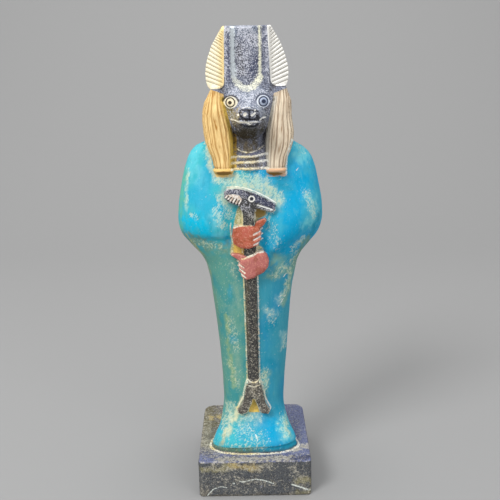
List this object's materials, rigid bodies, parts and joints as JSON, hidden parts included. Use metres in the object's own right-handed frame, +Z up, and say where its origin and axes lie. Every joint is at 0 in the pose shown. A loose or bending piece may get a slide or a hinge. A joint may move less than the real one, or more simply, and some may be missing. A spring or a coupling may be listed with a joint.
{
  "type": "egyptian god statue",
  "caption": "Painted stone statuette of a standing jackal-headed Egyptian god, wrapped like a mummy and holding a was sceptre, on a plinth of the same block.",
  "frame": {"origin": "middle of the plinth's underside, which is also the middle of the bounding box's bottom", "axes": "+Z up along the figure, -Y the way the figure faces, +X towards the figure's own left"},
  "size_m": [0.0936, 0.0812, 0.3],
  "materials": {
    "painted_stone": "hand-painted soft stone, satin to matt, rubbed through to cream on the edges: turquoise wrapping, blue-black head, sceptre and plinth, ochre hair, cream ears, brick-red hands"
  },
  "bodies": {
    "root": {"egyptian_god_statue": "painted_stone"}
  },
  "joints": []
}
